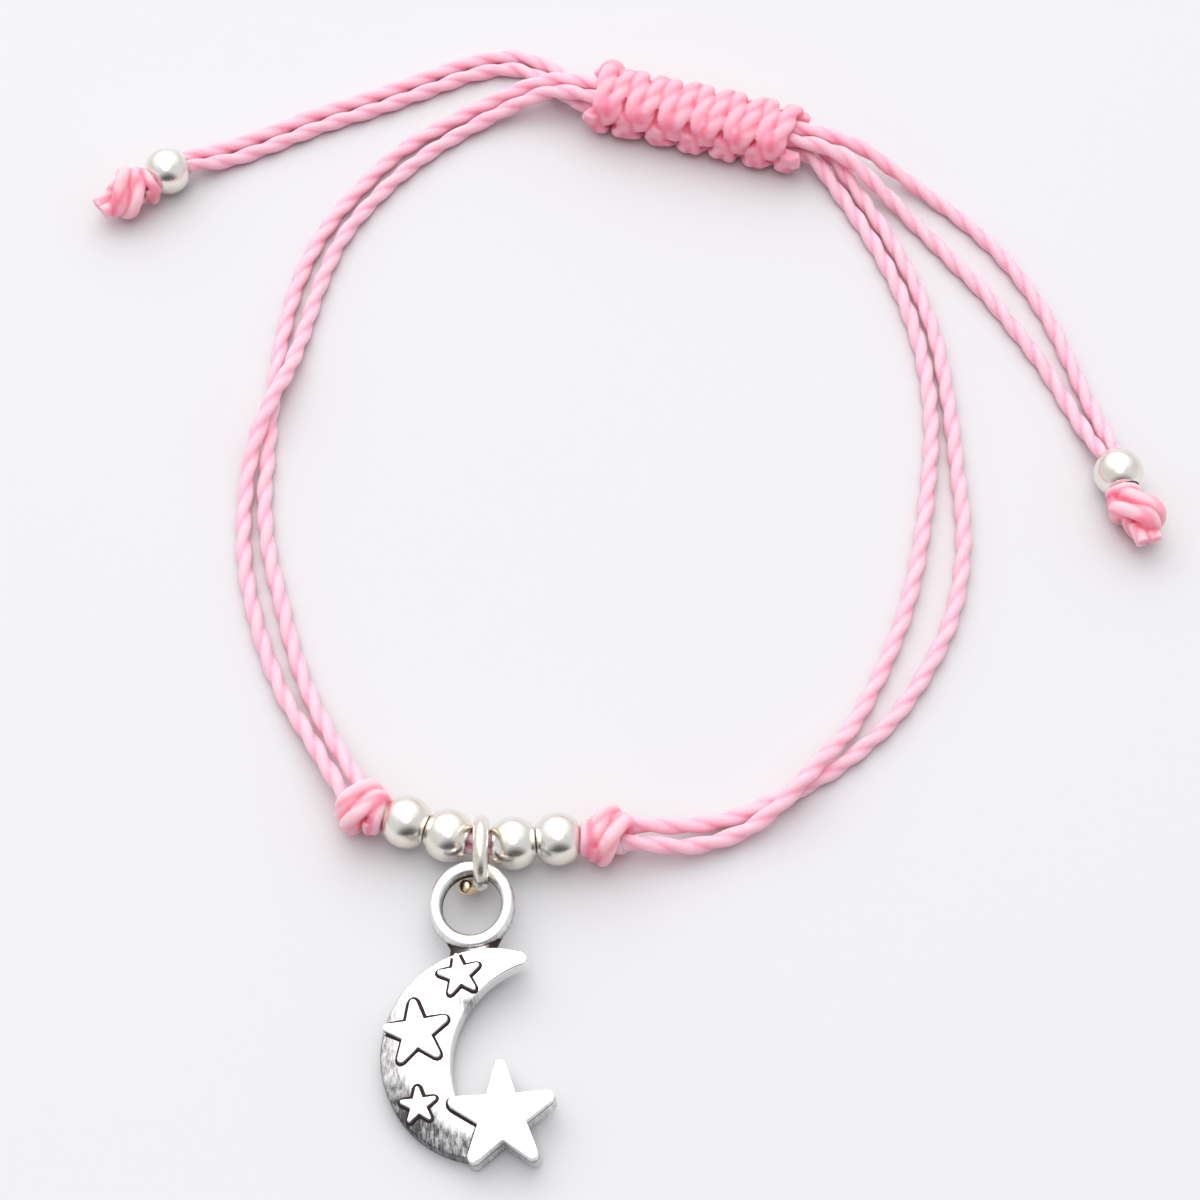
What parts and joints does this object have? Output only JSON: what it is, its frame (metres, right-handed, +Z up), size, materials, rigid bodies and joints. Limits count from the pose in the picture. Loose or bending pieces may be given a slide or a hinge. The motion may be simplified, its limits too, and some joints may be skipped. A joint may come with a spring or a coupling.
{
  "type": "string bracelet",
  "caption": "Adjustable bracelet of twisted pink cord with silver beads, a moon-and-star charm on a jump ring, and a knotted slider with two beaded ends.",
  "frame": {"origin": "middle of the whole lying bracelet, on the surface that it lies on", "axes": "+Z is up, +Y runs from the charm to the knotted slider, +X is to the right seen from the charm's end"},
  "size_m": [0.0706, 0.0771, 0.0044],
  "materials": {
    "cord": "waxed twisted cord",
    "cord_knot": "waxed twisted cord",
    "cord_slider": "waxed twisted cord",
    "bead_silver": "polished, lightly scuffed",
    "ring_silver": "polished wire",
    "antique_silver": "polished face, darkened recesses"
  },
  "bodies": {
    "root": {"left_cord_1": "cord", "left_cord_2": "cord", "right_cord_1": "cord", "right_cord_2": "cord", "bead_cord_1": "cord", "bead_cord_2": "cord", "left_front_knot": "cord_knot", "right_front_knot": "cord_knot", "bead_1": "bead_silver", "bead_2": "bead_silver", "bead_3": "bead_silver", "bead_4": "bead_silver", "jump_ring": "ring_silver", "charm": "antique_silver", "sliding_knot": "cord_slider", "left_end_bead": "bead_silver", "right_end_bead": "bead_silver", "left_end_knot": "cord_knot", "right_end_knot": "cord_knot"}
  },
  "joints": []
}
